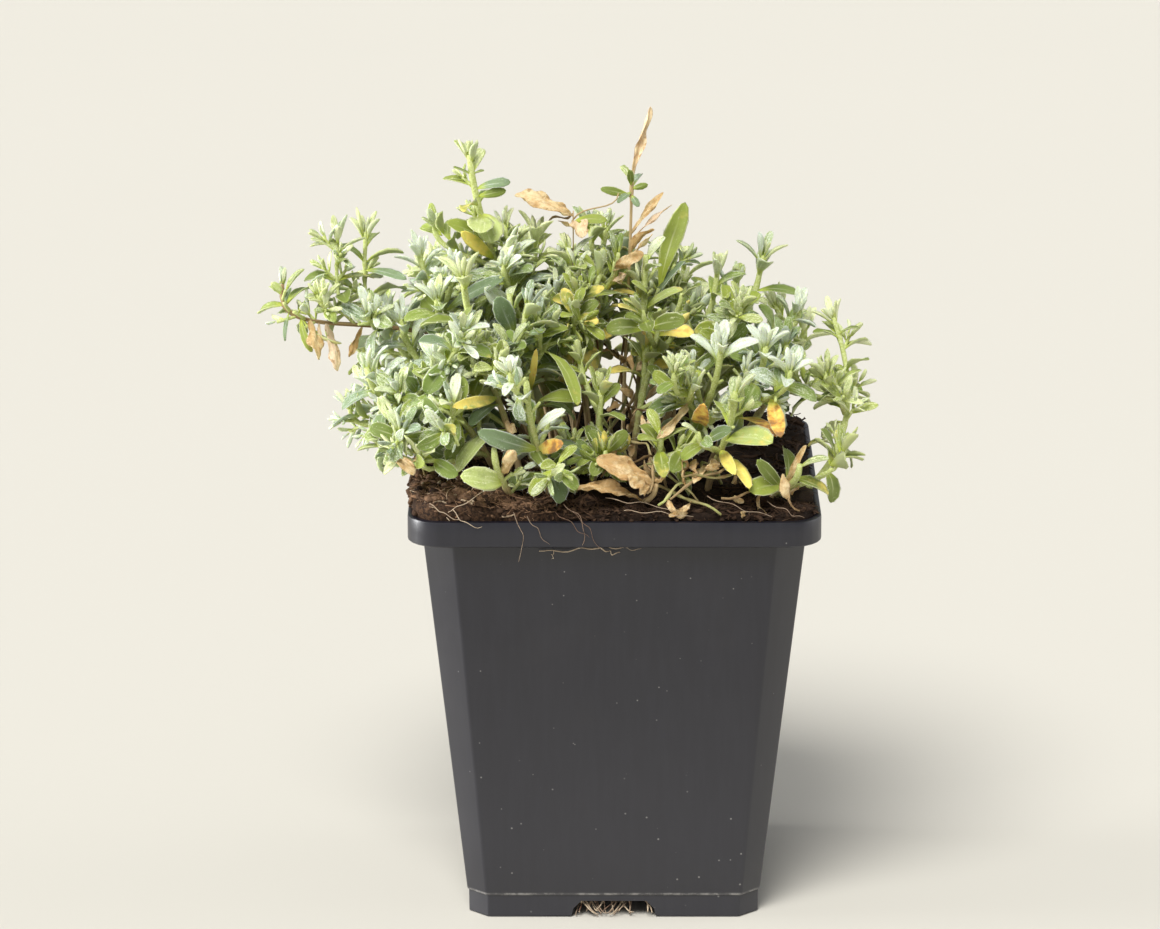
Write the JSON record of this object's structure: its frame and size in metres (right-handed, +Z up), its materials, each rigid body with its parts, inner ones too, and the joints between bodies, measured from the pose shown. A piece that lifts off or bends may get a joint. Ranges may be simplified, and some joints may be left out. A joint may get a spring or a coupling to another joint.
{
  "type": "potted snow-in-summer",
  "caption": "Bushy silver-leaved bedding plant with woolly leaf pairs on branching stems, standing in soil in a tapered square nursery pot.",
  "frame": {"origin": "centre of the plant and pot's box, on the plane that the pot's foot stands on", "axes": "+Z up along the pot's height, -Y towards the front of the plant, +X to its right"},
  "size_m": [0.1338, 0.1046, 0.176],
  "materials": {
    "pot": "satin moulded black plastic with fine upright streaks and pale dust",
    "soil": "loose fibrous peat",
    "leaf": "woolly grey-green with silver tips and yellow-green stems",
    "withered": "dry matt tan, crumpled"
  },
  "bodies": {
    "root": {"left_branch": "leaf", "left_low_stem": "leaf", "left_middle_stem": "leaf", "left_high_stem": "leaf", "left_front_stem": "leaf", "tall_stem": "leaf", "crown_left_stem": "leaf", "bright_stem": "leaf", "front_upper_stem": "leaf", "front_silver_stem": "leaf", "front_left_stem": "leaf", "front_gap_stem": "leaf", "middle_back_stem": "leaf", "crown_middle_stem": "leaf", "top_sprig": "leaf", "crown_right_stem": "leaf", "hollow_stem": "leaf", "right_inner_stem": "leaf", "right_tall_stem": "leaf", "right_silver_stem": "leaf", "right_front_stem": "leaf", "right_low_stem": "leaf", "right_corner_stem": "leaf", "far_right_stem": "leaf", "dead_crown_twig": "withered", "dead_front_stem": "withered", "front_right_stem": "leaf", "back_left_stem": "leaf", "back_left_low_stem": "leaf", "back_crown_stem": "leaf", "back_middle_stem": "leaf", "back_right_stem": "leaf", "back_right_low_stem": "leaf", "back_corner_stem": "leaf", "back_low_stem": "leaf", "pot": "pot", "soil": "soil"}
  },
  "joints": []
}
